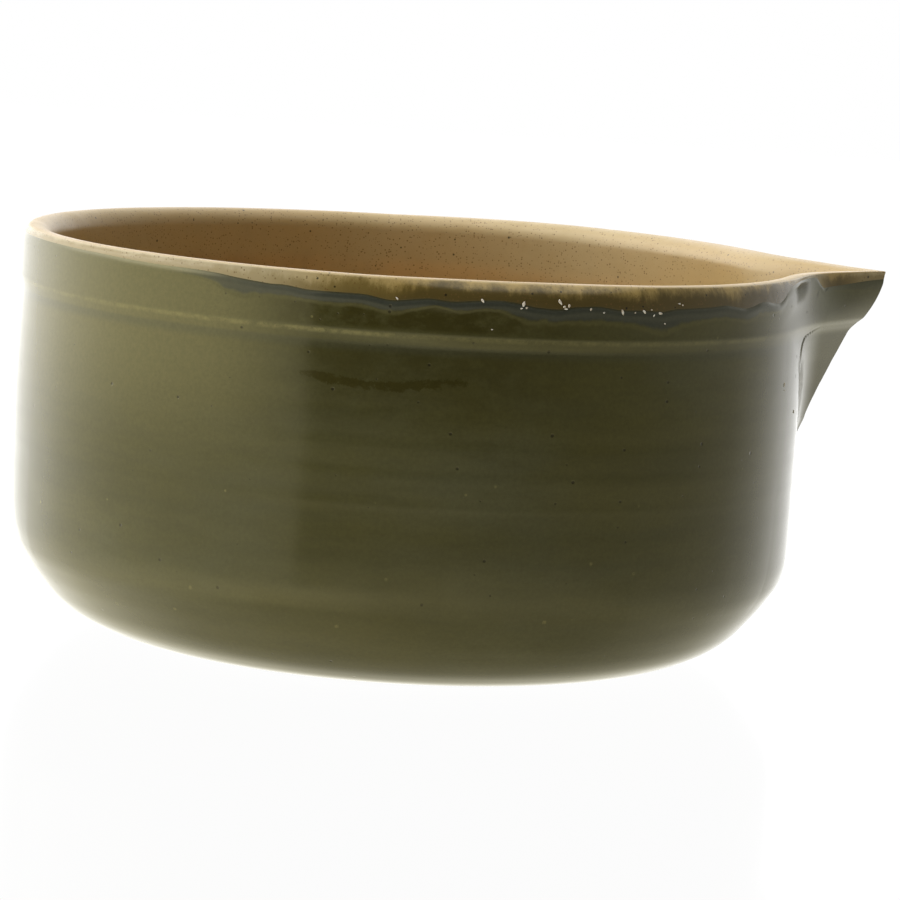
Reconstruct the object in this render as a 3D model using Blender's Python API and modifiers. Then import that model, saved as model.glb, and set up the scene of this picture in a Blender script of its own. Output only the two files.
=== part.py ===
"""Glazed stoneware mortar-style mixing bowl with a raised collar and a V-shaped pouring lip.

Frame: +Z up, origin at the centre of the flat foot, pouring lip towards +X. Metres.
Four sub-parts: the turned bowl, the lip luted onto it, and the two coats of glaze.
"""
import math

import bmesh
import bpy
import numpy as np

# ---- driving dimensions (metres) ----
HEIGHT = 0.1235             # foot to the highest point of the glazed rim
COLLAR_RADIUS = 0.1200      # glazed radius of the collar
COLLAR_HEIGHT = 0.0170      # rim crest down to the underside of the collar
COLLAR_STEP = 0.0015        # how far the collar stands out from the wall
STEP_SOFTNESS = 0.0020      # height of the rounding above and below the collar's step
BELLY_RADIUS = 0.1198       # widest glazed radius of the wall
BELLY_Z = 0.0750
HEEL_TOP_RADIUS = 0.1190    # where the wall starts to round in
HEEL_TOP_Z = 0.0565
HEEL_FOOT_RADIUS = 0.0710   # where the rounded heel reaches its lowest level
HEEL_Z = 0.0015             # glazed underside of the heel above the table
HEEL_POWER = 2.68           # superellipse power of the heel, 2 would be an ellipse
FOOT_RADIUS = 0.0625        # bare flat foot
CREST_RADIUS = 0.1156       # highest line of the rounded rim
RIM_DROP = 0.0055           # height of the rounding on both sides of the crest
INNER_RIM_RADIUS = 0.1105   # glazed inside radius just under the rim
WALL_THICKNESS = 0.0080     # glaze to glaze at the belly
INNER_HEEL_RADIUS = 0.0640  # flat part of the inside floor
FLOOR_Z = 0.0110            # glazed inside floor

GLAZE_GAP = 0.0005          # clearance between clay and glaze
GLAZE_THICKNESS = 0.0006
GLAZE_BUILD = GLAZE_GAP + GLAZE_THICKNESS
OVERLAP_DROP = 0.0070       # rim crest down to the line where the two glazes meet
OVERLAP_GAP = 0.0006

LIP_REACH = 0.1450          # centre line of the bowl to the tip of the lip
LIP_HALF_ANGLE = math.radians(39)
LIP_STRAIGHT = RIM_DROP     # height of the upright edge at the tip
LIP_LEAN = 0.46             # how fast the keel runs in below it, per unit of height
KEEL_START = 0.0182         # keel stand-off from the wall just under the collar
KEEL_LENGTH = 0.0480        # height over which the keel dies into the wall
KEEL_POWER = 1.5
LIP_BLEND = 0.0080          # softness of the crease between wall and lip
SEAM_TOP_HALF_WIDTH = 0.0240
SEAM_BOTTOM_HALF_WIDTH = 0.0030
SEAM_DEPTH = 0.0640         # rim crest down to the bottom of the lip's seam
SEAM_GAP = 0.0003

TURN_STEPS = 60
WALL_STEPS = 8              # rings between the heel and the collar
GATHER = 0.74               # crowds the turning steps towards the lip

OLIVE = (0.085, 0.080, 0.042, 1.0)
TAN = (0.42, 0.31, 0.17, 1.0)
STONEWARE = (0.55, 0.47, 0.36, 1.0)


# ---- scene ----
def clear_scene():
    for item in list(bpy.data.objects):
        bpy.data.objects.remove(item, do_unlink=True)


def new_collection(name):
    collection = bpy.data.collections.new(name)
    bpy.context.scene.collection.children.link(collection)
    return collection


def principled(name, colour, roughness):
    material = bpy.data.materials.new(name)
    material.use_nodes = True
    shader = material.node_tree.nodes["Principled BSDF"]
    shader.inputs["Base Color"].default_value = colour
    shader.inputs["Roughness"].default_value = roughness
    shader.inputs["Metallic"].default_value = 0.0
    return material


# ---- glazed outline, from the middle of the floor over the rim to the heel ----
def quarter(start, end, steps, power=2.0):
    """Points on a superellipse quarter from start to end, leaving start along the radius."""
    points = []
    for step in range(steps + 1):
        angle = math.pi / 2 * step / steps
        across = math.sin(angle) ** (2 / power)
        along = 1 - math.cos(angle) ** (2 / power)
        points.append((start[0] + (end[0] - start[0]) * across, start[1] + (end[1] - start[1]) * along))
    return points


def between(start, end, steps):
    """Evenly spaced points from just past start up to end."""
    line = np.linspace(start, end, steps + 1)[1:]
    return [tuple(point) for point in line]


def inner_outline():
    """Glazed inside: flat floor, rounded inner heel, nearly upright wall, up to the crest."""
    wall_foot = (BELLY_RADIUS - WALL_THICKNESS, HEEL_TOP_Z)
    rim_edge = (INNER_RIM_RADIUS, HEIGHT - RIM_DROP)
    crest = (CREST_RADIUS, HEIGHT)
    points = [(0.0, FLOOR_Z)]
    points += quarter((INNER_HEEL_RADIUS, FLOOR_Z), wall_foot, 6, HEEL_POWER)
    points += between(wall_foot, rim_edge, WALL_STEPS)[:-1]
    points += quarter(crest, rim_edge, 3)[::-1]
    return points


def wall_radius(z):
    """Glazed outer radius of the wall, which swells to the belly between heel and collar."""
    if z > BELLY_Z:
        fall = COLLAR_RADIUS - COLLAR_STEP - BELLY_RADIUS
        return BELLY_RADIUS + fall * ((z - BELLY_Z) / (HEIGHT - COLLAR_HEIGHT - BELLY_Z)) ** 2
    fall = HEEL_TOP_RADIUS - BELLY_RADIUS
    return BELLY_RADIUS + fall * ((z - BELLY_Z) / (HEEL_TOP_Z - BELLY_Z)) ** 2


def outer_outline():
    """Glazed outside: rounded rim, collar, soft step, belly and heel, down to its lowest level."""
    collar_foot = HEIGHT - COLLAR_HEIGHT
    points = quarter((CREST_RADIUS, HEIGHT), (COLLAR_RADIUS, HEIGHT - RIM_DROP), 3)[1:]
    points += [(COLLAR_RADIUS, HEIGHT - OVERLAP_DROP), (COLLAR_RADIUS, HEIGHT - OVERLAP_DROP - OVERLAP_GAP)]
    points += [(COLLAR_RADIUS, collar_foot + STEP_SOFTNESS), (COLLAR_RADIUS - 0.25 * COLLAR_STEP, collar_foot)]
    wall_levels = np.linspace(collar_foot - STEP_SOFTNESS, HEEL_TOP_Z, WALL_STEPS + 1)[:-1]
    points += [(wall_radius(z), z) for z in wall_levels]
    heel = quarter((HEEL_FOOT_RADIUS, HEEL_Z), (HEEL_TOP_RADIUS, HEEL_TOP_Z), 7, HEEL_POWER)
    return points + heel[::-1]


def sunk(points, depth):
    """The outline moved inwards by depth, square to itself."""
    line = np.array(points)
    ahead = np.vstack([line[1:] - line[:-1], line[-1] - line[-2]])
    behind = np.vstack([line[1] - line[0], line[1:] - line[:-1]])
    ahead /= np.linalg.norm(ahead, axis=1)[:, None]
    behind /= np.linalg.norm(behind, axis=1)[:, None]
    tangent = ahead + behind
    tangent /= np.linalg.norm(tangent, axis=1)[:, None]
    inwards = np.stack([tangent[:, 1], -tangent[:, 0]], axis=1)
    stretch = 1 / np.clip((tangent * ahead).sum(axis=1), 0.8, 1.0)
    moved = line + inwards * (depth * stretch)[:, None]
    moved[line[:, 0] == 0, 0] = 0.0
    return [tuple(point) for point in moved]


def clay_outline():
    """Closed wall section of the turned bowl, with its bare flat foot."""
    skin = sunk(inner_outline() + outer_outline(), GLAZE_BUILD)
    foot_top = skin[-1][1]
    return skin + [(FOOT_RADIUS + 0.0010, foot_top), (FOOT_RADIUS, 0.0), (0.0, 0.0)]


def coat_outline(points):
    """Outline of a coat over the given stretch: its outer face, then its inner face back."""
    under = sunk(points, GLAZE_THICKNESS)
    return points + under[::-1]


# ---- turning and pulling ----
def turned(name, outline, material, collection, closed):
    """A profile turned about Z with a Screw modifier, made a plain mesh."""
    mesh = bpy.data.meshes.new(name)
    edges = [(index, index + 1) for index in range(len(outline) - 1)]
    if closed:
        edges.append((len(outline) - 1, 0))
    mesh.from_pydata([(radius, 0.0, z) for radius, z in outline], edges, [])
    profile = bpy.data.objects.new(name + "_profile", mesh)
    collection.objects.link(profile)
    screw = profile.modifiers.new("turn", "SCREW")
    screw.axis = "Z"
    screw.steps = TURN_STEPS
    screw.render_steps = TURN_STEPS
    screw.use_merge_vertices = True
    screw.merge_threshold = 0.00001
    graph = bpy.context.evaluated_depsgraph_get()
    solid = bpy.data.meshes.new_from_object(profile.evaluated_get(graph))
    bpy.data.objects.remove(profile, do_unlink=True)
    piece = bpy.data.objects.new(name, solid)
    solid.name = name
    solid.materials.clear()
    solid.materials.append(material)
    collection.objects.link(piece)
    return piece


def keel_radius(drop):
    """Radius of the lip's keel at a depth under the rim crest, on the collar's surface."""
    on_collar = LIP_REACH - LIP_LEAN * max(drop - LIP_STRAIGHT, 0.0)
    if drop <= COLLAR_HEIGHT:
        return on_collar
    left = max(1 - (drop - COLLAR_HEIGHT) / KEEL_LENGTH, 0.0)
    return COLLAR_RADIUS + KEEL_START * left ** KEEL_POWER


def keel_inset(inside):
    """How far the V stands back for a surface that lies inside the collar's radius."""
    return float(np.interp(inside, (-0.001, 0.0, 0.0015, 0.005, 0.0095), (-0.0022, 0.0, 0.0033, 0.0054, 0.0108)))


def lip_radius(radius, angle, z):
    """Radius of the lip surface: a V in plan, blended into the round wall with a fillet."""
    if abs(angle) > math.radians(45) or z < HEIGHT - SEAM_DEPTH:
        return radius
    apex = keel_radius(HEIGHT - z) - keel_inset(COLLAR_RADIUS - radius)
    if apex <= radius:
        return radius
    vee = apex * math.sin(LIP_HALF_ANGLE) / math.sin(LIP_HALF_ANGLE + abs(angle))
    reach = min(LIP_BLEND, 2 * (apex - radius))
    overlap = max(reach - abs(radius - vee), 0.0)
    return max(radius, vee) + overlap ** 2 / (4 * reach)


def pull_lip(piece):
    """Crowd the turning steps towards +X, then pull the pouring lip out of the round wall."""
    shape = bmesh.new()
    shape.from_mesh(piece.data)
    for vertex in shape.verts:
        x, y, z = vertex.co
        radius = math.hypot(x, y)
        angle = math.atan2(y, x)
        angle -= GATHER * math.sin(angle)
        radius = lip_radius(radius, angle, z)
        vertex.co = (radius * math.cos(angle), radius * math.sin(angle), z)
    bmesh.ops.triangulate(shape, faces=shape.faces, quad_method="SHORT_EDGE")
    shape.to_mesh(piece.data)
    shape.free()


def shade(piece):
    piece.data.shade_smooth()
    piece.data.set_sharp_from_angle(angle=math.radians(40))


# ---- seam between bowl and lip ----
def seam_wedge(name, gap, collection):
    """A block that narrows downwards and spans the wall where the lip is luted on."""
    mesh = bpy.data.meshes.new(name)
    shape = bmesh.new()
    bmesh.ops.create_cube(shape, size=1.0)
    top = HEIGHT + 0.010
    bottom = HEIGHT - SEAM_DEPTH - gap
    taper = (SEAM_TOP_HALF_WIDTH - SEAM_BOTTOM_HALF_WIDTH) / SEAM_DEPTH
    for vertex in shape.verts:
        z = top if vertex.co.z > 0 else bottom
        half_width = SEAM_TOP_HALF_WIDTH + gap - taper * (HEIGHT - z)
        vertex.co.x = LIP_REACH + 0.020 if vertex.co.x > 0 else INNER_RIM_RADIUS - 0.020
        vertex.co.y = math.copysign(half_width, vertex.co.y)
        vertex.co.z = z
    shape.to_mesh(mesh)
    shape.free()
    cutter = bpy.data.objects.new(name, mesh)
    cutter.hide_render = True
    cutter.display_type = "WIRE"
    collection.objects.link(cutter)
    return cutter


def cut(piece, cutter, operation):
    boolean = piece.modifiers.new("seam", "BOOLEAN")
    boolean.operation = operation
    boolean.solver = "EXACT"
    boolean.object = cutter


# ---- sub-parts ----
def make_clay(parts, cutters):
    clay = principled("bare_stoneware", STONEWARE, 0.8)
    bowl = turned("bowl_body", clay_outline(), clay, parts, closed=False)
    lip = turned("pouring_lip", clay_outline(), clay, parts, closed=False)
    for piece in (bowl, lip):
        pull_lip(piece)
        shade(piece)
    cut(bowl, seam_wedge("seam_notch", SEAM_GAP, cutters), "DIFFERENCE")
    cut(lip, seam_wedge("seam_wedge", 0.0, cutters), "INTERSECT")


def make_glazes(parts):
    inner = inner_outline()
    outer = outer_outline()
    meeting = [z for radius, z in outer].index(HEIGHT - OVERLAP_DROP)
    over_rim = inner + outer[:meeting + 1]
    down_wall = outer[meeting + 1:]
    tan = principled("tan_liner_glaze", TAN, 0.15)
    olive = principled("olive_glaze", OLIVE, 0.12)
    inside = turned("inside_glaze", coat_outline(over_rim), tan, parts, closed=False)
    outside = turned("outside_glaze", coat_outline(down_wall), olive, parts, closed=True)
    for piece in (inside, outside):
        pull_lip(piece)
        shade(piece)


def main():
    clear_scene()
    parts = new_collection("pouring_bowl")
    cutters = new_collection("cutters")
    make_clay(parts, cutters)
    make_glazes(parts)


main()
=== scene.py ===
"""Looks of the glazed stoneware bowl: two glaze coats with real thickness over turned clay.

Frame: +Z up, origin under the centre of the foot, pouring lip towards +X. Metres, or
millimetres where a name ends in _MM. Azimuths are degrees, 0 at the lip, -90 at the front.
A drop or a depth is measured down from the mean height of the rim's crest.
"""
import math

import bmesh
import bpy
import numpy as np
from mathutils import Matrix, Vector


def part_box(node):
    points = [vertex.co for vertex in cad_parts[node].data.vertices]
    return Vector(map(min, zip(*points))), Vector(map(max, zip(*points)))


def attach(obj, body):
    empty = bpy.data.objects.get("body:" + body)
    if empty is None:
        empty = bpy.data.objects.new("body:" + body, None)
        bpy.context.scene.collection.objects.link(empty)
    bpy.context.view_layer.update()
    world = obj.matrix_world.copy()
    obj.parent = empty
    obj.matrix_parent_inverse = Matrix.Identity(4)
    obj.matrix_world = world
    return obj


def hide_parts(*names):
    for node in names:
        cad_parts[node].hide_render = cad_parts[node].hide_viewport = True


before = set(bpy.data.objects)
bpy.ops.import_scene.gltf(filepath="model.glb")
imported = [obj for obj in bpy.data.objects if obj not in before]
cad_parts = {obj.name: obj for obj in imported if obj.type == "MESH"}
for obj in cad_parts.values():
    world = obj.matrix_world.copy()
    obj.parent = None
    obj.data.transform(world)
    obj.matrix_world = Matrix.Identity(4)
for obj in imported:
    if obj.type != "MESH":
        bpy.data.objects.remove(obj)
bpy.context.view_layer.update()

MM = 0.001

# ---- dimensions read from the frame ----
liner_low, liner_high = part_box("inside_glaze")
coat_low, coat_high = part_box("outside_glaze")
RIM_RISE = 0.0005           # the rim is uneven: its highest stretch stands this far over its mean
HEIGHT = liner_high.z - RIM_RISE
LIP_REACH = liner_high.x
COLLAR_RADIUS = -coat_low.x
HEEL_Z = coat_low.z

# ---- outline, the same proportions as the CAD ----
COLLAR_HEIGHT = 0.0170
COLLAR_STEP = 0.0015
EDGE_ABOVE = 0.0022         # where the collar's lower edge starts to turn in, over its height
EDGE_BELOW = 0.0032         # and where it meets the wall, under it
EDGE_ROLL = 0.00011         # a slight roll that stands out along the collar's lower edge
EDGE_ROLL_RISE = 0.0013
EDGE_ROLL_WIDTH = 0.0009
BELLY_RADIUS = 0.1198
BELLY_Z = 0.0750
HEEL_TOP_RADIUS = 0.1190
HEEL_TOP_Z = 0.0565
HEEL_FOOT_RADIUS = 0.0710
HEEL_POWER = 2.68           # superellipse power, 2 would be an ellipse
CREST_RADIUS = 0.1156
RIM_DROP = 0.0055           # height of the rounding on both sides of the crest
INNER_RIM_RADIUS = 0.1105
WALL_THICKNESS = 0.0080
INNER_HEEL_RADIUS = 0.0640
FLOOR_Z = 0.0110
FLOOR_HOLE = 0.002          # innermost ring of the grids; a flat cap closes it

# ---- pouring lip ----
NEAR_HALF_ANGLE = math.radians(41)
FAR_HALF_ANGLE = math.radians(44.5)
NEAR_WIDENING = math.radians(14)    # the lip's outer face is blunter under the collar
FAR_WIDENING = math.radians(9.5)
WIDENING_DROPS = (0.0005, 0.0170)
LIP_SPAN = math.radians(45)         # the lip stays inside this azimuth on both sides
KEEL_TIP = LIP_REACH + 0.0001
KEEL_SLOPE = 0.085          # how fast the tip leans in under the rim, and how fast that grows
KEEL_BEND = 21.5
KEEL_START = 0.0172         # keel stand-off from the wall just under the collar
KEEL_LENGTH = 0.0400
KEEL_POWER = 1.28
KEEL_SOFTNESS = 0.0026      # half height of the keel's turn at the collar's lower edge
LIP_BLEND = 0.0088          # reach of the fillet in the crease at the rim
LIP_BLEND_LOW = 0.0055      # the same under the collar
LIP_DEPTH = 0.0640
# how far inside the collar's face a point lies, and how far it then stands back at the tip
LIP_FACE = (
    (0.0, 0.0), (2.75, 0.1), (3.6, 0.35), (4.4, 1.0), (5.0, 3.2), (5.8, 6.0), (7.3, 8.2),
    (9.5, 10.6))
INNER_FACE_MM = 9.5         # further inside than this, a point is on the bowl's inner face
INNER_FACE_INSET = 0.0011
OUTER_FACE = 0.0035         # a point nearer the collar's radius than this is on the outer face

# the open seam in the crease: depth in millimetres and azimuth in degrees
CRACK_LINE = (
    (16.0, -9.0), (17.5, -11.0), (19.0, -13.4), (22.0, -14.3), (28.0, -13.2), (33.0, -12.0))
CRACK_WIDTH = 0.26          # degrees of azimuth
CRACK_DEPTH = 0.0005
CRACK_ENDS_MM = ((15.8, 17.8), (22.0, 31.0))

# ---- glaze ----
LINER_SINK = 0.00018        # the liner lies this far under the olive coat's nominal face
LINER_THICKNESS = 0.00027
TUCK_MM = 1.6               # the liner runs on this far under the olive coat
TUCK_SINK = 0.00030         # and sinks this much further there
COAT_THICKNESS = 0.00045
BEAD_HEIGHT = 0.00016       # the olive coat's thick edge
BEAD_MIDDLE_MM = 1.3
BEAD_WIDTH_MM = 1.3
EDGE_REACH_MM = 0.45        # how quickly the coat rises to its full height at its edge
EDGE_SOFT_REACH_MM = 1.5    # and how much slower where its edge is soft
CLAY_DEPTH = 0.00085        # clay surface under the nominal glazed face
# ridges left by the potter's fingers: height, waves per metre times two pi, shift
RING_WAVES = ((0.00003, 780, 0.0), (0.00002, 1490, 1.3), (0.000015, 2630, 0.4))
INNER_RINGS = 1.4           # they are this much higher inside

# ---- values by azimuth ----
# how high the rim stands against its mean, in millimetres
RIM_LIFT = (
    (-180, -0.45), (-150, -0.45), (-100, -0.35), (-88, -0.1), (-75, 0.0), (-60, -0.1),
    (-45, -0.2), (-30, -0.25), (-16, -0.2), (-8, 0.0), (-2, 0.15), (0, 0.1), (4, 0.15),
    (9, 0.45), (14, 0.5), (62, 0.5), (75, 0.25), (82, 0.0), (92, -0.35), (150, -0.45),
    (180, -0.45))
LIFT_DROP = 0.002           # the lift fades from here down to the collar's lower edge
# how far the rim is sharpened
RIM_SHARP = (
    (-180, 0.3), (-160, 0.9), (-112, 0.9), (-96, 0.6), (-86, 0.1), (-70, 0.0), (-58, 0.5),
    (-36, 0.5), (-24, 0.6), (-11, 1.0), (66, 1.0), (78, 0.4), (90, 0.0), (150, 0.0), (180, 0.2))
# browner tan towards the line; where 0, on the lit left, the rim's pale tan is painted light
RIM_STAIN_AND_LIGHT = (
    (-180, 0.0), (-113, 0.0), (-105, 0.55), (-96, 0.85), (-86, 1.6), (-60, 1.5), (-45, 1.3),
    (-34, 1.6), (-31, 2.8), (-27.5, 2.8), (-23, 0.7), (-16, 0.0), (-10, 0.0), (-8, 1.0),
    (-6, 1.0), (-3, 0.25), (8, 0.6), (40, 0.8), (75, 1.0), (110, 0.6), (130, 0.0), (180, 0.0))
# how yellow the collar's lower edge is: glaze breaking thin, and a painted highlight strongest on
# the lit left
EDGE_BREAK_AND_HIGHLIGHT = (
    (-180, 0.4), (-165, 0.45), (-140, 0.5), (-118, 0.75), (-104, 0.7), (-90, 0.35),
    (-20, 0.25), (20, 0.2), (90, 0.3), (150, 0.4), (180, 0.4))
# how softly the olive coat ends
EDGE_SOFT = (
    (-180, 1.0), (-128, 1.0), (-119, 0.15), (-112, 0.0), (-30, 0.0), (-26, 0.7), (16, 0.7),
    (28, 0.0), (140, 0.0), (160, 1.0), (180, 1.0))
# how far inside the collar's face a point lies on the round rim, and on a sharp one
SHARP_RIM = (
    (-1.0, -1.0), (0.0, 0.0), (2.75, 0.5), (4.4, 2.0), (5.8, 4.4), (9.5, 9.5), (10.5, 10.5))

# where the tan glaze ends, and where the dark band under it ends: depth in millimetres
GLAZE_LINE = (
    (-180, 2.2), (-161, 2.0), (-153, 2.0), (-142, 2.2), (-130, 2.8), (-123.5, 2.8),
    (-120, 3.1), (-117, 3.8), (-112, 4.6), (-110, 4.4), (-107, 5.3), (-99, 5.2),
    (-96.7, 6.2), (-95.5, 6.6), (-92.5, 5.8), (-90.6, 5.3), (-87.5, 6.0), (-83, 5.1),
    (-81, 4.9), (-78.5, 5.6), (-76.4, 6.5), (-73, 7.0), (-70.6, 6.1), (-67, 5.7),
    (-63.8, 6.7), (-60, 6.7), (-56.5, 7.1), (-54.5, 6.3), (-47.7, 6.0), (-44.4, 5.5),
    (-42, 6.2), (-39.5, 6.9), (-37.6, 6.4), (-35.3, 5.4), (-33.5, 5.3), (-31, 6.2),
    (-29, 6.4), (-27.5, 5.3), (-26, 3.6), (-23.5, 2.1), (-19, 1.2), (-16, 0.9),
    (-11.6, 0.8), (-10.6, 1.4), (-9.4, 4.5), (-6, 3.9), (-2, 2.9), (0, 2.5), (3, 3.1),
    (8, 4.0), (10.5, 1.6), (14, 1.0), (24, 1.2), (29, 3.6), (34, 5.2), (41, 4.6),
    (47, 6.3), (53, 5.7), (61, 4.4), (68, 5.6), (77, 4.9), (84, 6.6), (90, 6.9),
    (95, 5.4), (104, 4.2), (113, 4.8), (121, 6.1), (127, 5.0), (138, 3.7), (150, 3.2),
    (163, 2.6), (180, 2.2))
BAND_LINE = (
    (-180, 4.4), (-150, 4.5), (-134, 4.8), (-123, 4.8), (-120, 5.8), (-118, 8.1),
    (-115.6, 8.2), (-111, 7.5), (-104.4, 8.5), (-100, 8.2), (-97.7, 8.9), (-95, 9.9),
    (-93.7, 9.1), (-89.8, 7.2), (-86.5, 8.7), (-83, 7.3), (-80.4, 8.0), (-77.6, 10.3),
    (-70.5, 10.3), (-68.3, 9.8), (-62, 10.5), (-57.8, 12.3), (-56.5, 12.8), (-53.4, 10.6),
    (-47.5, 9.4), (-44, 9.0), (-41.8, 9.8), (-37.9, 10.4), (-36, 8.7), (-31, 8.6),
    (-26, 8.3), (-22.5, 7.4), (-19.5, 5.6), (-11, 5.0), (0, 6.0), (11, 5.4), (24, 5.8),
    (33, 9.2), (40, 8.0), (48, 11.2), (56, 9.4), (63, 7.8), (70, 9.6), (79, 8.6),
    (88, 11.6), (96, 9.0), (106, 7.4), (115, 8.4), (122, 10.2), (130, 8.2), (145, 6.4),
    (160, 5.2), (180, 4.4))
BAND_LEAST_MM = 1.2
LINE_SOFTNESS = 5           # columns over which the corners of both lines are rounded

# ---- colour zones: where each rises and falls, azimuths in degrees or depths in millimetres ----
DARK_FRONT = ((-116, -100), (-84, -64))
DARK_BACK = ((60, 74), (100, 122))
DARK_BACK_SHARE = 0.8
DARK_END_MM = (13.6, 15.4)
RUN_FRONT = ((-109, -105), (-90, -80))
RUN_BACK = ((118, 122), (136, 144))
RUN_MIDDLE_MM = 29.5
RUN_SWING_MM = 1.2
RUN_WAVES = 14
RUN_WIDTH_MM = 1.5
UMBER_FRONT = ((-110, -103), (-84, -62))
UMBER_DEPTHS_MM = ((18.5, 21.0), (26, 48))
UMBER_SHARE = 0.5
# painted light: the coat is painted paler where the softbox lights the left and back
LIT_LEFT = (-121, -104)
LIT_BACK = (120, 160)
LIT_END_MM = (20, 64)
# painted highlight: pale grey laid over the coat in the valleys beside the lip and on its sides
VALLEY = (9.5, 3.0)         # middle and half width of the valley beside the lip
VALLEY_SHARE = 0.34
LIP_SIDES = (8, 13)
LIP_SIDES_SHARE = 0.05
CREASE_END_MM = (44, 62)
# painted shade: the far wall's left inside, which faces away from the light, painted darker brown
INSIDE_SHADE_SIDE = ((92, 128), (170, 180))
# cream clouds on the liner near the rim, with more cream painted as light on the far wall's lit
# right side
CREAM_LIT_SIDE = ((20, 60), (88, 110))
CREAM_SHARES = (0.08, 0.29)
CREAM_END_MM = (5, 26)
# short dark slits: azimuth, depth, half length, lean in degrees of azimuth per millimetre
KILN_MARKS = (
    (-11.2, 6.0, 1.0, 0.5), (-9.8, 4.2, 0.6, 0.4), (-8.8, 5.0, 0.7, 0.7), (-7.8, 3.2, 0.4, 0.9))
KILN_MARK_WIDTH = 0.16

# ---- grids ----
COLUMNS = 900
GATHER = 0.5                # crowds the columns towards the lip
UPPER_ROWS = 56             # between the glaze line and just under the collar
UPPER_END_MM = 21.0
UPPER_CROWDING = 1.25       # crowds the upper rows towards the glaze line
WALL_ROWS = 30
HEEL_ROWS = 34
UNDER_STEP = 6              # the coats' undersides keep one row in this many
OVER_RIM_ROWS = 19
OVER_RIM_CROWDING = 1.6
LINE_MARGIN_MM = 0.25       # the liner's visible rows end this far past the line
NO_LINE_MM = 9.0            # stands for far away from the line
SHARP_ANGLE = math.radians(50)


def smooth(value, low, high):
    """0 below low, 1 above high, an S curve in between."""
    part = np.clip((value - low) / (high - low), 0.0, 1.0)
    return part * part * (3 - 2 * part)


def between(value, rise, fall):
    """Rises from 0 to 1 over the first pair of values and falls back over the second."""
    return smooth(value, *rise) * (1 - smooth(value, *fall))


def bump_at(value, centre, half_width):
    """1 at centre, falling smoothly to almost nothing two half widths away."""
    return np.exp(-((value - centre) / half_width) ** 2)


def by_azimuth(points, angles):
    """A value listed by azimuth in degrees, read at each angle."""
    azimuth, value = np.array(points).T
    return np.interp(np.degrees(angles), azimuth, value)


def round_line(points, angles):
    """The depth of a glaze line at each column, in millimetres, with its corners rounded."""
    line = by_azimuth(points, angles)
    kernel = np.hanning(LINE_SOFTNESS + 2)[1:-1]
    padded = np.concatenate([line[-LINE_SOFTNESS:], line, line[:LINE_SOFTNESS]])
    rounded = np.convolve(padded, kernel / kernel.sum(), mode="same")
    return rounded[LINE_SOFTNESS:-LINE_SOFTNESS]


# ---- outline of the glazed faces ----
def wall_radius(z):
    upper = COLLAR_RADIUS - COLLAR_STEP - BELLY_RADIUS
    lower = HEEL_TOP_RADIUS - BELLY_RADIUS
    top = HEIGHT - COLLAR_HEIGHT
    above = BELLY_RADIUS + upper * ((z - BELLY_Z) / (top - BELLY_Z)) ** 2
    below = BELLY_RADIUS + lower * ((z - BELLY_Z) / (HEEL_TOP_Z - BELLY_Z)) ** 2
    return np.where(z > BELLY_Z, above, below)


def collar_radius(drop):
    """Outer radius from the rim crest down past the collar's lower edge."""
    level = np.clip(1 - drop / RIM_DROP, 0, 1)
    face = CREST_RADIUS + (COLLAR_RADIUS - CREST_RADIUS) * np.sqrt(1 - level ** 2)
    turned_in = smooth(drop, COLLAR_HEIGHT - EDGE_ABOVE, COLLAR_HEIGHT + EDGE_BELOW)
    roll = EDGE_ROLL * bump_at(drop, COLLAR_HEIGHT - EDGE_ROLL_RISE, EDGE_ROLL_WIDTH)
    return face + (wall_radius(HEIGHT - drop) - face) * turned_in + roll


def quarter(start, end, steps, power):
    """Points on a superellipse quarter from start to end, leaving start along the radius."""
    angle = np.linspace(0, math.pi / 2, steps + 1)
    radius = start[0] + (end[0] - start[0]) * np.sin(angle) ** (2 / power)
    z = start[1] + (end[1] - start[1]) * (1 - np.cos(angle) ** (2 / power))
    return np.stack([radius, z], axis=1)


def lower_outline():
    """Radius and height from just under the collar down the wall and round the heel."""
    z = np.linspace(HEIGHT - UPPER_END_MM * MM, HEEL_TOP_Z, WALL_ROWS + 1)[1:]
    wall = np.stack([wall_radius(z), z], axis=1)
    ends = ((HEEL_FOOT_RADIUS, HEEL_Z), (HEEL_TOP_RADIUS, HEEL_TOP_Z))
    heel = quarter(*ends, HEEL_ROWS, HEEL_POWER)
    return np.vstack([wall, heel[::-1][1:]])


def inner_outline():
    """Radius and height from near the middle of the floor up to the rim crest."""
    wall_foot = (BELLY_RADIUS - WALL_THICKNESS, HEEL_TOP_Z)
    rim_edge = (INNER_RIM_RADIUS, HEIGHT - RIM_DROP)
    floor_radius = np.linspace(FLOOR_HOLE, INNER_HEEL_RADIUS, 16)
    floor = np.stack([floor_radius, np.full_like(floor_radius, FLOOR_Z)], axis=1)
    heel = quarter((INNER_HEEL_RADIUS, FLOOR_Z), wall_foot, 26, HEEL_POWER)
    wall = np.linspace(wall_foot, rim_edge, 36)
    rim = quarter((CREST_RADIUS, HEIGHT), rim_edge, 16, 2.0)[::-1]
    return np.vstack([floor, heel[1:], wall[1:], rim[1:]])


# ---- the lip, pulled out of the round wall ----
def under_collar(drop):
    """0 on the collar, 1 under it."""
    return smooth(drop, COLLAR_HEIGHT - KEEL_SOFTNESS, COLLAR_HEIGHT + KEEL_SOFTNESS)


def keel_radius(drop):
    """Radius of the lip's keel on its outer face."""
    on_collar = KEEL_TIP - KEEL_SLOPE * drop - KEEL_BEND * drop ** 2
    left = np.clip(1 - (drop - COLLAR_HEIGHT) / KEEL_LENGTH, 0.0, 1.0)
    below = wall_radius(HEIGHT - drop) + KEEL_START * left ** KEEL_POWER
    return on_collar + (below - on_collar) * under_collar(drop)


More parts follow.
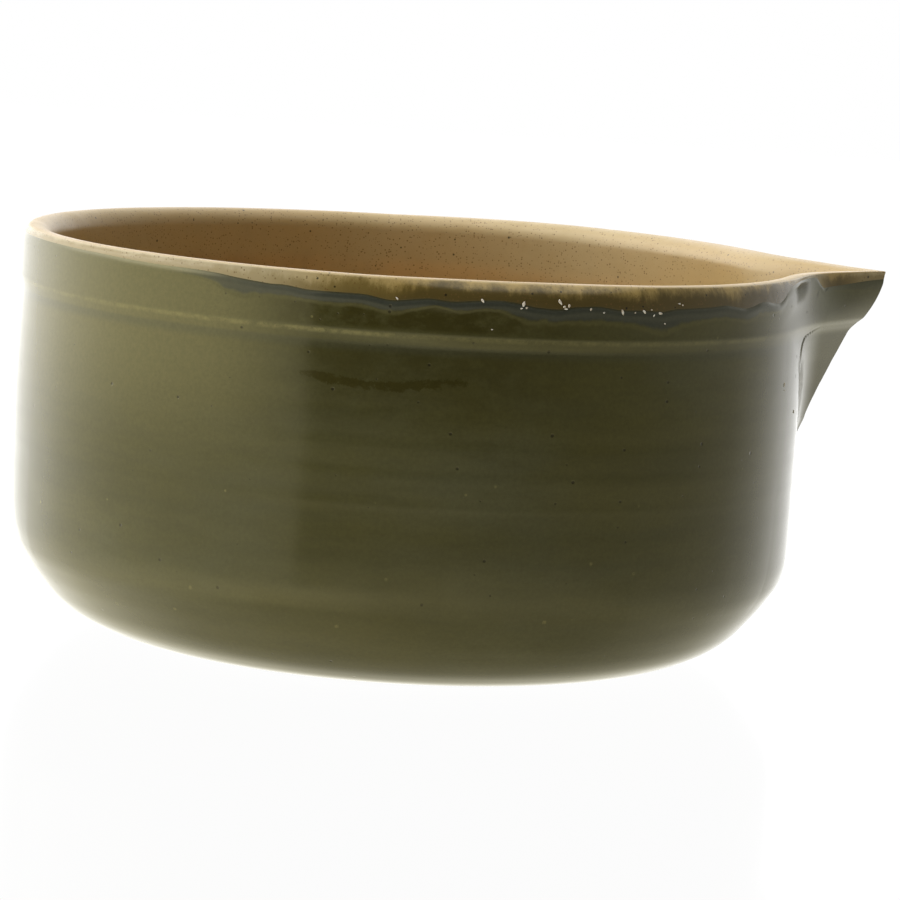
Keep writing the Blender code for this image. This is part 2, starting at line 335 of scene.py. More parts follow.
def sharpen_rim(radius, angle):
    """Where the rim is sharp its crest stands further out, towards the collar's face."""
    rounded, sharpened = np.array(SHARP_RIM).T
    outer = COLLAR_RADIUS - np.interp((COLLAR_RADIUS - radius) / MM, rounded, sharpened) * MM
    share = by_azimuth(RIM_SHARP, angle)
    return np.where(radius > INNER_RIM_RADIUS, radius + (outer - radius) * share, radius)


def lip_half_angle(radius, angle, drop):
    """Half angle of the V and its widened share; only the outer face widens, with depth."""
    outer_face = smooth(radius, INNER_RIM_RADIUS + 0.0020, CREST_RADIUS)
    low = smooth(drop, *WIDENING_DROPS) * outer_face
    near = NEAR_HALF_ANGLE + low * NEAR_WIDENING
    far = FAR_HALF_ANGLE + low * FAR_WIDENING
    return np.where(angle < 0, near, far), low


def pull_lip(radius, angle, z):
    """Radius of the lip's surface: a V in plan, blended into the round wall with a fillet."""
    drop = HEIGHT - z
    inside_mm = (COLLAR_RADIUS - radius) / MM
    radius = sharpen_rim(radius, angle)
    face, stand_back = np.array(LIP_FACE).T
    inset = np.interp(inside_mm, face, stand_back, left=0.0) * MM
    inset = np.where(inside_mm > INNER_FACE_MM, inside_mm * MM + INNER_FACE_INSET, inset)
    on_outside = radius > COLLAR_RADIUS - OUTER_FACE
    inset = np.where(on_outside, inset * (1 - under_collar(drop)), inset)
    apex = keel_radius(drop) - inset
    half_angle, low = lip_half_angle(radius, angle, drop)
    beside = np.minimum(np.abs(angle), 1.0)     # kept under a radian, where the V has no meaning
    vee = apex * np.sin(half_angle) / np.sin(half_angle + beside)
    stand = np.maximum(apex - radius, 1e-6)
    reach = np.minimum(LIP_BLEND + low * (LIP_BLEND_LOW - LIP_BLEND), 2 * stand)
    overlap = np.maximum(reach - np.abs(radius - vee), 0.0)
    pulled = np.maximum(radius, vee) + overlap ** 2 / (4 * reach)
    active = (np.abs(angle) < LIP_SPAN) & (drop < LIP_DEPTH) & (apex > radius)
    return np.where(active, pulled, radius)


# ---- grids of points ----
def column_angles():
    turn = np.linspace(-math.pi, math.pi, COLUMNS, endpoint=False)
    return turn - GATHER * np.sin(turn)


ANGLES = column_angles()
GLAZE_MM = round_line(GLAZE_LINE, ANGLES)
BAND_MM = np.maximum(round_line(BAND_LINE, ANGLES), GLAZE_MM + BAND_LEAST_MM)


def throwing_rings(z):
    """Faint ridges left by the potter's fingers, as an offset of the face."""
    return sum(height * np.sin(z * pitch + shift) for height, pitch, shift in RING_WAVES)


def crack_share(azimuth, depth_mm):
    """1 in the middle of the open seam in the crease beside the lip, 0 away from it."""
    depth, line = np.array(CRACK_LINE).T
    across = bump_at(azimuth, np.interp(depth_mm, depth, line), CRACK_WIDTH)
    return across * between(depth_mm, *CRACK_ENDS_MM)


def lip_crack(radius, angle, drop):
    share = crack_share(np.degrees(angle), drop / MM)
    return np.where(radius > CREST_RADIUS, CRACK_DEPTH * share, 0.0)


def placed(radius, z, angles):
    """Points of a grid of radii and heights, with the lip, its seam and the uneven rim."""
    angle = np.broadcast_to(angles, radius.shape)
    drop = HEIGHT - z
    pulled = pull_lip(radius, angle, z) - lip_crack(radius, angle, drop)
    uneven = by_azimuth(RIM_LIFT, angle) * MM * smooth(-drop, -COLLAR_HEIGHT, -LIFT_DROP)
    return np.stack([pulled * np.cos(angle), pulled * np.sin(angle), z + uneven], axis=-1)


def grid_normals(points):
    """Normals of a grid that closes round its columns, pointing out of the glazed face."""
    down = np.gradient(points, axis=0)
    around = np.roll(points, -1, axis=1) - np.roll(points, 1, axis=1)
    normal = np.cross(around, down)
    return -normal / np.maximum(np.linalg.norm(normal, axis=2, keepdims=True), 1e-12)


def grid_faces(rows, columns, closed):
    """Quads of a grid whose columns close round; with closed, its last row joins its first."""
    row = np.arange(rows if closed else rows - 1)[:, None] * columns
    after = (row + columns) % (rows * columns)
    column = np.arange(columns)[None, :]
    beside = (column + 1) % columns
    corners = (row + column, after + column, after + beside, row + beside)
    return np.stack(np.broadcast_arrays(*corners), axis=-1).reshape(-1, 4)


def add_mesh(name, points, faces, caps=()):
    mesh = bpy.data.meshes.new(name)
    polygons = faces.tolist() + [list(cap) for cap in caps]
    mesh.from_pydata(points.reshape(-1, 3).tolist(), [], polygons)
    mesh.validate()
    mesh.update()
    piece = bpy.data.objects.new(name, mesh)
    bpy.context.scene.collection.objects.link(piece)
    mesh.shade_smooth()
    mesh.set_sharp_from_angle(angle=SHARP_ANGLE)
    return piece


def add_capped(name, rows):
    """A mesh from rows of points that close round, with its first and last rows capped."""
    count, columns = rows.shape[:2]
    last = (count - 1) * columns
    caps = (range(columns), range(last + columns - 1, last - 1, -1))
    return add_mesh(name, rows, grid_faces(count, columns, closed=False), caps)


def add_values(piece, kept_rows, shape, values):
    """Point values for a coat: the grid of its face, then the rows kept for its underside."""
    for name, value in values.items():
        grid = np.broadcast_to(value, shape)
        both = np.vstack([grid, grid[kept_rows][::-1]]).astype(np.float32)
        attribute = piece.data.attributes.new(name, "FLOAT", "POINT")
        attribute.data.foreach_set("value", both.ravel())


def turned_rows(outline):
    """Radii and heights of an outline, one row for each of its points."""
    return (np.repeat(outline[:, side:side + 1], COLUMNS, axis=1) for side in (0, 1))


# ---- the olive coat ----
def dark_zone(azimuth, depth_mm):
    """Where the olive glaze is thick and dark on the collar, between the band and its edge."""
    share = between(azimuth, *DARK_FRONT) + DARK_BACK_SHARE * between(azimuth, *DARK_BACK)
    return share * (1 - smooth(depth_mm, *DARK_END_MM))


def dark_run(azimuth, depth_mm):
    """A thin dark streak under the collar, where the glaze has run."""
    middle = RUN_MIDDLE_MM + RUN_SWING_MM * np.sin(np.radians(azimuth * RUN_WAVES))
    share = between(azimuth, *RUN_FRONT) + between(azimuth, *RUN_BACK)
    return share * bump_at(depth_mm, middle, RUN_WIDTH_MM)


def umber_zone(azimuth, depth_mm):
    """A soft darker patch on the wall under the collar."""
    patch = between(azimuth, *UMBER_FRONT) + between(azimuth, *RUN_BACK)
    return UMBER_SHARE * patch * between(depth_mm, *UMBER_DEPTHS_MM)


def painted_light_zone(azimuth, depth_mm):
    """Painted light: a paler coat on the collar and upper wall at the lit left and back."""
    side = 1 - smooth(azimuth, *LIT_LEFT) + smooth(azimuth, *LIT_BACK)
    return np.minimum(side, 1.0) * (1 - smooth(depth_mm, *LIT_END_MM))


def crease_highlight_zone(azimuth, depth_mm):
    """Painted highlight: pale grey, most in the valleys beside the lip, less on its sides."""
    valley = bump_at(np.abs(azimuth), *VALLEY)
    lip = 1 - smooth(np.abs(azimuth), *LIP_SIDES)
    share = VALLEY_SHARE * valley + LIP_SIDES_SHARE * lip
    return share * (1 - smooth(depth_mm, *CREASE_END_MM))


def kiln_marks(azimuth, depth_mm):
    """A few short dark slits on the collar where the lip leaves it."""
    share = np.zeros_like(depth_mm)
    for middle, depth, length, lean in KILN_MARKS:
        across = bump_at(azimuth, middle - lean * (depth_mm - depth), KILN_MARK_WIDTH)
        share += across * bump_at(depth_mm, depth, length)
    return np.minimum(share, 1.0)


def make_outside_coat():
    part = np.linspace(0, 1, UPPER_ROWS)[:, None] ** UPPER_CROWDING
    drop_mm = GLAZE_MM + (UPPER_END_MM - GLAZE_MM) * part
    low_radius, low_z = turned_rows(lower_outline())
    radius = np.vstack([collar_radius(drop_mm * MM), low_radius])
    z = np.vstack([HEIGHT - drop_mm * MM, low_z])
    points = placed(radius, z, ANGLES)
    normals = grid_normals(points)
    depth_mm = (HEIGHT - z) / MM
    below_mm = depth_mm - GLAZE_MM
    soft = by_azimuth(EDGE_SOFT, ANGLES)
    rise = LINER_SINK * np.exp(-below_mm / (EDGE_REACH_MM + EDGE_SOFT_REACH_MM * soft))
    bead = BEAD_HEIGHT * (1 - 0.9 * soft) * bump_at(below_mm, BEAD_MIDDLE_MM, BEAD_WIDTH_MM)
    bead = bead * smooth(below_mm, 0.0, 0.8)
    rings = throwing_rings(z) * smooth(depth_mm, 20.0, 26.0)
    face = points + normals * (bead - rise + rings)[..., None]
    last = len(radius) - 1
    kept = np.r_[0:UPPER_ROWS:UNDER_STEP, UPPER_ROWS:last:UNDER_STEP, last]
    under = (points - normals * COAT_THICKNESS)[kept][::-1]
    rows = np.vstack([face, under])
    piece = add_mesh("outside_glaze_coat", rows, grid_faces(len(rows), COLUMNS, closed=True))
    azimuth = np.broadcast_to(np.degrees(ANGLES), radius.shape)
    add_values(piece, kept, radius.shape, {
        "below_line": below_mm,
        "band": np.minimum(below_mm / (BAND_MM - GLAZE_MM), NO_LINE_MM),
        "depth": depth_mm,
        "dark_zone": dark_zone(azimuth, depth_mm),
        "run": dark_run(azimuth, depth_mm),
        "umber": umber_zone(azimuth, depth_mm),
        "pale": painted_light_zone(azimuth, depth_mm),
        "crease": crease_highlight_zone(azimuth, depth_mm),
        "crack": crack_share(azimuth, depth_mm) + kiln_marks(azimuth, depth_mm),
        "soft": soft,
        "edge": by_azimuth(EDGE_BREAK_AND_HIGHLIGHT, ANGLES)})
    return piece


# ---- the tan liner: over the inside, the rim and a little way down the outside ----
def make_inside_coat():
    inner_radius, inner_z = turned_rows(inner_outline())
    part = np.linspace(0, 1, OVER_RIM_ROWS)[1:, None] ** OVER_RIM_CROWDING
    line_end = GLAZE_MM + LINE_MARGIN_MM
    tuck_mm = line_end + TUCK_MM * np.linspace(0, 1, 4)[1:, None]
    drop_mm = np.vstack([part * line_end, tuck_mm])
    radius = np.vstack([inner_radius, collar_radius(drop_mm * MM)])
    z = np.vstack([inner_z, HEIGHT - drop_mm * MM])
    points = placed(radius, z, ANGLES)
    normals = grid_normals(points)
    outside_mm = np.vstack([np.zeros_like(inner_radius), drop_mm])
    past_line = outside_mm - GLAZE_MM
    sink = LINER_SINK * smooth(outside_mm, 0.0, 1.4) + TUCK_SINK * smooth(past_line, 0.2, 1.2)
    ringed = (outside_mm == 0) * smooth(radius, 0.03, 0.06) * smooth(-z, -0.115, -0.108)
    rings = INNER_RINGS * throwing_rings(z) * ringed
    face = points + normals * (rings - sink)[..., None]
    last = len(radius) - 1
    kept = np.r_[0:last:UNDER_STEP + 1, last]
    under = (points - normals * (LINER_THICKNESS + sink)[..., None])[kept][::-1]
    piece = add_capped("inside_glaze_coat", np.vstack([face, under]))
    azimuth = np.broadcast_to(np.degrees(ANGLES), radius.shape)
    depth_mm = (HEIGHT - z) / MM
    # cream clouds near the rim, and painted light on the far wall's lit right side
    least, more = CREAM_SHARES
    cream_and_painted_light = least + more * between(azimuth, *CREAM_LIT_SIDE)
    add_values(piece, kept, radius.shape, {
        "outside_mm": outside_mm,
        "to_line": np.where(outside_mm > 0, -past_line, NO_LINE_MM),
        "depth": depth_mm,
        "stain_and_light": by_azimuth(RIM_STAIN_AND_LIGHT, ANGLES),
        "painted_shade_inside": between(azimuth, *INSIDE_SHADE_SIDE) * (outside_mm == 0),
        "cream_and_painted_light": cream_and_painted_light * (1 - smooth(depth_mm, *CREAM_END_MM))})
    return piece


# ---- clay: one turned and pulled solid, split along the seam where the lip is luted on ----
FOOT_RADIUS = 0.0625
FOOT_EDGE = 0.0005          # rounding of the foot's outer edge
FOOT_RING_WIDTH = 0.009
FOOT_HOLLOW = 0.0003
FOOT_TURNING = (0.00012, 2400)      # height of the turning rings, waves per metre times two pi
CLAY_COLUMN_STEP = 3
CLAY_SHARP_ANGLE = math.radians(40)
SEAM_TOP_HALF_WIDTH = 0.0240
SEAM_BOTTOM_HALF_WIDTH = 0.0030
SEAM_GAP = 0.0003
SEAM_OVER = 0.010           # how far the cutting block passes the rim, and then the wall
SEAM_PAST = 0.020


def foot_section():
    """Radius and height of the bare foot, with the faint rings of turning on its hollow middle."""
    edge = [
        (FOOT_RADIUS + 0.0010, HEEL_Z + CLAY_DEPTH), (FOOT_RADIUS + 0.0003, 0.0006),
        (FOOT_RADIUS, 0.0001), (FOOT_RADIUS - FOOT_EDGE, 0.0),
        (FOOT_RADIUS - FOOT_RING_WIDTH, 0.0)]
    radius = np.linspace(FOOT_RADIUS - FOOT_RING_WIDTH - 0.001, FLOOR_HOLE, 48)
    height, pitch = FOOT_TURNING
    rings = FOOT_HOLLOW + height * np.sin(radius * pitch) * smooth(radius, 0.0, 0.012)
    return np.vstack([edge, np.stack([radius, rings], axis=1)])


def clay_solid(name):
    over = np.linspace(0, UPPER_END_MM, 30)[1:] * MM
    outer = np.stack([collar_radius(over), HEIGHT - over], axis=1)
    section = np.vstack([inner_outline()[::2], outer, lower_outline()])
    angles = ANGLES[::CLAY_COLUMN_STEP]
    radius, z = (rows[:, ::CLAY_COLUMN_STEP] for rows in turned_rows(section))
    points = placed(radius, z, angles)
    skin = points - grid_normals(points) * CLAY_DEPTH
    radius, z = foot_section().T[:, :, None]
    around = (radius * np.cos(angles), radius * np.sin(angles), z)
    foot = np.stack(np.broadcast_arrays(*around), axis=-1)
    return add_capped(name, np.vstack([skin, foot]))


def seam_cutter(gap):
    """A block that narrows downwards and spans the wall where the lip is luted on."""
    top = HEIGHT + SEAM_OVER
    bottom = HEIGHT - LIP_DEPTH - gap
    taper = (SEAM_TOP_HALF_WIDTH - SEAM_BOTTOM_HALF_WIDTH) / LIP_DEPTH
    shape = bmesh.new()
    bmesh.ops.create_cube(shape, size=1.0)
    for vertex in shape.verts:
        z = top if vertex.co.z > 0 else bottom
        half_width = SEAM_TOP_HALF_WIDTH + gap - taper * (HEIGHT - z)
        outer = vertex.co.x > 0
        x = LIP_REACH + SEAM_PAST if outer else INNER_RIM_RADIUS - SEAM_PAST
        vertex.co = (x, math.copysign(half_width, vertex.co.y), z)
    mesh = bpy.data.meshes.new("seam_cutter")
    shape.to_mesh(mesh)
    shape.free()
    cutter = bpy.data.objects.new("seam_cutter", mesh)
    bpy.context.scene.collection.objects.link(cutter)
    return cutter


def cut(piece, gap, operation):
    """Applies one Boolean with the seam's block and removes the block."""
    cutter = seam_cutter(gap)
    boolean = piece.modifiers.new("seam", "BOOLEAN")
    boolean.operation = operation
    boolean.solver = "EXACT"
    boolean.object = cutter
    graph = bpy.context.evaluated_depsgraph_get()
    mesh = bpy.data.meshes.new_from_object(piece.evaluated_get(graph))
    piece.modifiers.clear()
    piece.data = mesh
    mesh.name = piece.name
    mesh.shade_smooth()
    mesh.set_sharp_from_angle(angle=CLAY_SHARP_ANGLE)
    bpy.data.objects.remove(cutter, do_unlink=True)


def make_clay():
    bowl = clay_solid("stoneware_bowl")
    lip = clay_solid("stoneware_lip")
    cut(bowl, SEAM_GAP, "DIFFERENCE")
    cut(lip, 0.0, "INTERSECT")
    return bowl, lip


# ---- node helpers ----
class Graph:
    """Short calls for adding shader nodes; a value is a socket or a constant."""

    def __init__(self, tree):
        self.tree = tree
        tree.nodes.clear()

    def put(self, socket, value):
        if isinstance(value, bpy.types.NodeSocket):
            self.tree.links.new(value, socket)
        elif hasattr(socket, "default_value"):
            if socket.type == "RGBA" and len(value) == 3:
                value = (*value, 1.0)
            socket.default_value = value

    def node(self, kind, inputs=None, **settings):
        node = self.tree.nodes.new(kind)
        for name, value in settings.items():
            setattr(node, name, value)
        for name, value in (inputs or {}).items():
            self.put(node.inputs[name], value)
        return node

    def math(self, operation, *values, clamp=False):
        node = self.node("ShaderNodeMath", operation=operation, use_clamp=clamp)
        for socket, value in zip(node.inputs, values):
            self.put(socket, value)
        return node.outputs[0]

    def times(self, first, *others):
        for other in others:
            first = self.math("MULTIPLY", first, other)
        return first

    def left(self, share):
        """What a share leaves of 1."""
        return self.math("SUBTRACT", 1.0, share)

    def swing(self, noise, amount):
        """A noise of 0 to 1 as a swing to both sides of 0."""
        return self.math("MULTIPLY", self.math("SUBTRACT", noise, 0.5), amount)

    def ramp(self, value, low, high, start=0.0, end=1.0):
        inputs = {
            "Value": value, "From Min": low, "From Max": high, "To Min": start, "To Max": end}
        node = self.node("ShaderNodeMapRange", inputs, interpolation_type="SMOOTHSTEP")
        return node.outputs[0]

    def mix(self, factor, first, second, blend="MIX"):
        node = self.node("ShaderNodeMix", data_type="RGBA", blend_type=blend)
        self.put(node.inputs["Factor"], factor)
        self.put(node.inputs[6], first)
        self.put(node.inputs[7], second)
        return node.outputs[2]

    def cover(self, colour, over, *shares):
        """Lays one colour over another, where all the shares say so."""
        return self.mix(self.times(*shares), colour, over)

    def value(self, name):
        return self.node("ShaderNodeAttribute", attribute_name=name).outputs["Fac"]

    def position(self, stretch=(1, 1, 1)):
        place = self.node("ShaderNodeTexCoord").outputs["Object"]
        return self.node("ShaderNodeMapping", {"Vector": place, "Scale": stretch}).outputs[0]

    def noise(self, scale, detail=4.0, roughness=0.5, stretch=(1, 1, 1)):
        inputs = {
            "Vector": self.position(stretch), "Scale": scale, "Detail": detail,
            "Roughness": roughness}
        return self.node("ShaderNodeTexNoise", inputs).outputs[0]

    def specks(self, scale, share, size):
        """Small round spots: about share of the cells hold one, size is a fraction of a cell."""
        cells = self.node("ShaderNodeTexVoronoi", {"Vector": self.position(), "Scale": scale})
        chance = self.node("ShaderNodeSeparateColor", {"Color": cells.outputs["Color"]})
        present = self.math("LESS_THAN", chance.outputs[0], share)
        reach = self.math("MULTIPLY", self.math("ADD", 0.4, chance.outputs[1]), size)
        distance = self.math("DIVIDE", cells.outputs["Distance"], reach)
        spot = self.math("SUBTRACT", 1.0, distance, clamp=True)
        return self.math("MULTIPLY", self.ramp(spot, 0.0, 0.5), present)

    def bump(self, height, distance, strength=1.0, normal=None):
        inputs = {"Height": height, "Distance": distance, "Strength": strength}
        if normal is not None:
            inputs["Normal"] = normal
        return self.node("ShaderNodeBump", inputs).outputs[0]


def ceramic(name, paint, tint=(1.0, 1.0, 1.0)):
    """A ceramic material; paint(graph) gives its colour, roughness and normal."""
    material = bpy.data.materials.new(name)
    material.use_nodes = True
    graph = Graph(material.node_tree)
    colour, roughness, normal = paint(graph)
    shader = graph.node("ShaderNodeBsdfPrincipled", {
        "Base Color": colour, "Roughness": roughness, "Normal": normal, "IOR": GLAZE_IOR,
        "Metallic": 0.0, "Specular Tint": tint})
    graph.node("ShaderNodeOutputMaterial", {"Surface": shader.outputs[0]})
    return material


# ---- paints ----
GLAZE_IOR = 1.52
OLIVE = (0.074, 0.067, 0.021)
OLIVE_DEEP = (0.056, 0.052, 0.018)
OLIVE_GREY = (0.080, 0.080, 0.044)
# painted light: the paler olive of the lit left side
OLIVE_LIT = (0.128, 0.115, 0.046)
DARK_BROWN = (0.034, 0.028, 0.004)
BAND_EDGE = (0.088, 0.080, 0.030)
BAND_BLUE = (0.044, 0.048, 0.038)
# yellow of the collar's lower edge, glaze breaking thin and partly painted highlight; also the
# flecks
EDGE_YELLOW = (0.215, 0.190, 0.070)
GROOVE = (0.060, 0.062, 0.040)
# painted highlight laid in the valleys beside the lip
CREASE_HIGHLIGHT_GREY = (0.235, 0.240, 0.190)
SPECK = (0.010, 0.008, 0.004)
LINER = (0.430, 0.262, 0.092)
# cream clouds of the liner, also painted light on its lit right side
LINER_CREAM = (0.520, 0.420, 0.235)
# brown of the liner's drips and specks, also used for painted shade on the left inside
LINER_BROWN = (0.130, 0.075, 0.022)
LINER_OLIVE = (0.330, 0.240, 0.095)
RIM_TAN = (0.390, 0.272, 0.085)
# painted light: the pale tan of the rim's lit left side
RIM_PALE = (0.375, 0.310, 0.178)
RIM_LOW = (0.190, 0.130, 0.032)
RIM_STAIN = (0.060, 0.043, 0.011)
OLIVE_SHEEN = (1.0, 0.93, 0.60)
TAN_SHEEN = (1.0, 0.95, 0.82)
CLAY = (0.520, 0.420, 0.290)
CLAY_DARK = (0.400, 0.300, 0.190)
CHIP_PALE = (0.820, 0.790, 0.710)
EDGE_BREAK_AND_HIGHLIGHT_MM = ((15.4, 16.2), (17.5, 16.4))     # depths of the collar's yellow lower edge: thin glaze and painted highlight
GROOVE_MM = ((18.4, 19.4), (22.5, 20.0))        # and of the shaded groove under it
UPPER_LINER_MM = (17.5, 13.0)


def strip(graph, value, rise, fall):
    """1 between two levels of a value, 0 outside them."""
    return graph.times(graph.ramp(value, *rise), graph.ramp(value, *fall))


def olive_ground(graph, cloud):
    """The wall's colour: streaks dragged round the pot, grey clouds, and painted light on the left
    side.
    """
    streaks = graph.noise(60, 6, 0.66, stretch=(0.25, 0.25, 1.4))
    colour = graph.mix(graph.ramp(streaks, 0.28, 0.72), OLIVE_DEEP, OLIVE)
    colour = graph.cover(colour, OLIVE_GREY, graph.ramp(cloud, 0.40, 0.72, 0.0, 0.45))
    drag = graph.noise(150, 6, 0.72, stretch=(0.30, 0.30, 1.3))
    colour = graph.cover(colour, OLIVE_DEEP, graph.ramp(drag, 0.48, 0.70, 0.0, 0.55))
    # painted light: the lit left side painted paler
    return graph.cover(colour, OLIVE_LIT, graph.value("pale"), 0.9)


def olive_dark_places(graph, colour):
    """Thick dark glaze on the collar, the soft patch under it and the streak that has run."""
    mottle = graph.noise(170, 5, 0.65, stretch=(0.7, 0.7, 1.0))
    thick = graph.ramp(mottle, 0.34, 0.60)
    colour = graph.cover(colour, DARK_BROWN, graph.value("dark_zone"), thick, 0.85)
    patchy = graph.ramp(mottle, 0.30, 0.60, 0.4, 1.0)
    colour = graph.cover(colour, DARK_BROWN, graph.value("umber"), patchy)
    ragged = graph.math("ADD", graph.swing(graph.noise(330, 6, 0.75), 2.2), graph.value("run"))
    return graph.cover(colour, DARK_BROWN, graph.ramp(ragged, 0.42, 0.70, 0.0, 0.75))


def olive_band(graph, colour):
    """The blue-grey band under the glaze line, its yellow contour and its dark upper edge."""
    edge = graph.math("ADD", graph.value("band"), graph.swing(graph.noise(300, 3), 0.5))
    firm = graph.left(graph.value("soft"))
    inside = graph.left(graph.ramp(edge, 0.75, 1.12))
    firmness = graph.math("MULTIPLY_ADD", firm, 0.85, 0.05)
    colour = graph.cover(colour, BAND_BLUE, inside, firmness)
    contour = strip(graph, edge, (0.86, 1.12), (1.42, 1.14))
    colour = graph.cover(colour, BAND_EDGE, contour, firm, 0.75)
    dark_edge = graph.left(graph.ramp(graph.value("below_line"), 0.0, 0.7))
    return graph.cover(colour, DARK_BROWN, dark_edge, firm, 0.7)


def paint_olive(graph):
    cloud = graph.noise(22, 4, 0.55, stretch=(0.6, 0.6, 1.0))
    grain = graph.noise(900, 3, 0.7)
    colour = olive_ground(graph, cloud)
    colour = olive_dark_places(graph, colour)
    colour = olive_band(graph, colour)
    depth = graph.value("depth")
    # the collar's lower edge: glaze breaking thin and yellow, with a painted highlight strongest
    # on the lit left
    edge_patches = graph.ramp(graph.noise(210, 5, 0.75), 0.34, 0.64)
    edge = strip(graph, depth, *EDGE_BREAK_AND_HIGHLIGHT_MM)
    colour = graph.cover(colour, EDGE_YELLOW, edge, edge_patches, graph.value("edge"))
    colour = graph.cover(colour, GROOVE, strip(graph, depth, *GROOVE_MM), 0.35)
    fine = graph.ramp(grain, 0.2, 0.8, 0.90, 1.10)
    grey = graph.node("ShaderNodeCombineColor", {"Red": fine, "Green": fine, "Blue": fine})
    colour = graph.mix(1.0, colour, grey.outputs[0], "MULTIPLY")
    pinholes = graph.specks(420, 0.07, 0.20)
    colour = graph.cover(colour, SPECK, pinholes, 0.7)
    # painted highlight: pale grey in the valleys beside the lip
    colour = graph.cover(colour, CREASE_HIGHLIGHT_GREY, graph.value("crease"))
    colour = graph.cover(colour, SPECK, graph.value("crack"), 0.9)
    flecks = graph.specks(240, 0.05, 0.16)
    faint = graph.ramp(grain, 0.35, 0.6, 0.1, 0.5)
    colour = graph.cover(colour, EDGE_YELLOW, flecks, faint)
    roughness = graph.ramp(cloud, 0.3, 0.7, 0.10, 0.17)
    waves = graph.noise(38, 3, 0.5, stretch=(0.5, 0.5, 1.0))
    normal = graph.bump(waves, 0.0006, 0.35)
    normal = graph.bump(grain, 0.00003, 0.12, normal)
    normal = graph.bump(pinholes, -0.0001, 0.6, normal)
    return colour, roughness, normal


def rim_colour(graph, outside):
    """The rim's outer tan: browner smears towards the line, pale as painted light on the left."""
    whole = graph.math("MAXIMUM", graph.math("ADD", outside, graph.value("to_line")), 0.5)
    smear = graph.noise(80, 6, 0.72, stretch=(1.3, 1.3, 0.5))
    part = graph.math("ADD", graph.math("DIVIDE", outside, whole), graph.swing(smear, 2.4))
    stain_and_light = graph.value("stain_and_light")
    brown = graph.math("MINIMUM", stain_and_light, 1.0)
    colour = graph.mix(brown, RIM_PALE, RIM_TAN)
    deep = graph.math("MULTIPLY_ADD", brown, 0.55, 0.45)
    colour = graph.cover(colour, RIM_LOW, graph.ramp(part, 0.05, 0.66), deep)
    worst = graph.math("MULTIPLY", stain_and_light, graph.ramp(part, -0.50, 1.25), clamp=True)
    return graph.cover(colour, RIM_STAIN, worst, 0.80)


def paint_liner(graph):
    cloud = graph.noise(26, 5, 0.6)
    blotch = graph.noise(95, 5, 0.72)
    colour = graph.mix(graph.ramp(cloud, 0.35, 0.68, 0.0, 0.5), LINER, LINER_OLIVE)
    drips = graph.noise(70, 6, 0.70, stretch=(1.2, 1.2, 0.55))
    colour = graph.cover(colour, LINER_BROWN, graph.ramp(drips, 0.48, 0.78, 0.0, 0.30))
    # painted shade: the far wall's left inside painted darker brown
    colour = graph.cover(colour, LINER_BROWN, graph.value("painted_shade_inside"), 0.35)
    upper = graph.ramp(graph.value("depth"), *UPPER_LINER_MM)
    colour = graph.cover(colour, LINER_OLIVE, upper, 0.6)
    cloudy = graph.ramp(blotch, 0.25, 0.55, 0.6, 1.0)
    # cream clouds, with painted light on the far wall's lit right side
    colour = graph.cover(colour, LINER_CREAM, graph.value("cream_and_painted_light"), cloudy)
    outside = graph.value("outside_mm")
    is_outside = graph.ramp(outside, 0.0, 0.6)
    colour = graph.mix(is_outside, colour, rim_colour(graph, outside))
    colour = graph.cover(colour, LINER_BROWN, graph.specks(1500, 0.30, 0.42), 0.75)
    colour = graph.cover(colour, SPECK, graph.specks(620, 0.05, 0.24), 0.85)
    normal = graph.bump(graph.noise(60, 4), 0.0009, 0.45)
    normal = graph.bump(graph.noise(700, 3), 0.00003, 0.4, normal)
    satin = graph.ramp(cloud, 0.3, 0.7, 0.32, 0.44)
    roughness = graph.math("MULTIPLY_ADD", is_outside, -0.17, satin)
    return colour, roughness, normal


def paint_chips(graph):
    colour = graph.mix(graph.ramp(graph.noise(900, 3), 0.35, 0.65), CHIP_PALE, CLAY)
    return colour, 0.7, graph.bump(graph.noise(1500, 3), 0.0001, 0.5)


def paint_clay(graph):
    cloud = graph.noise(40, 5, 0.6)
    colour = graph.mix(graph.ramp(cloud, 0.35, 0.65), CLAY, CLAY_DARK)
    colour = graph.cover(colour, LINER_BROWN, graph.specks(400, 0.12, 0.3), 0.8)
    return colour, 0.85, graph.bump(graph.noise(1200, 5, 0.7), 0.0002, 0.6)


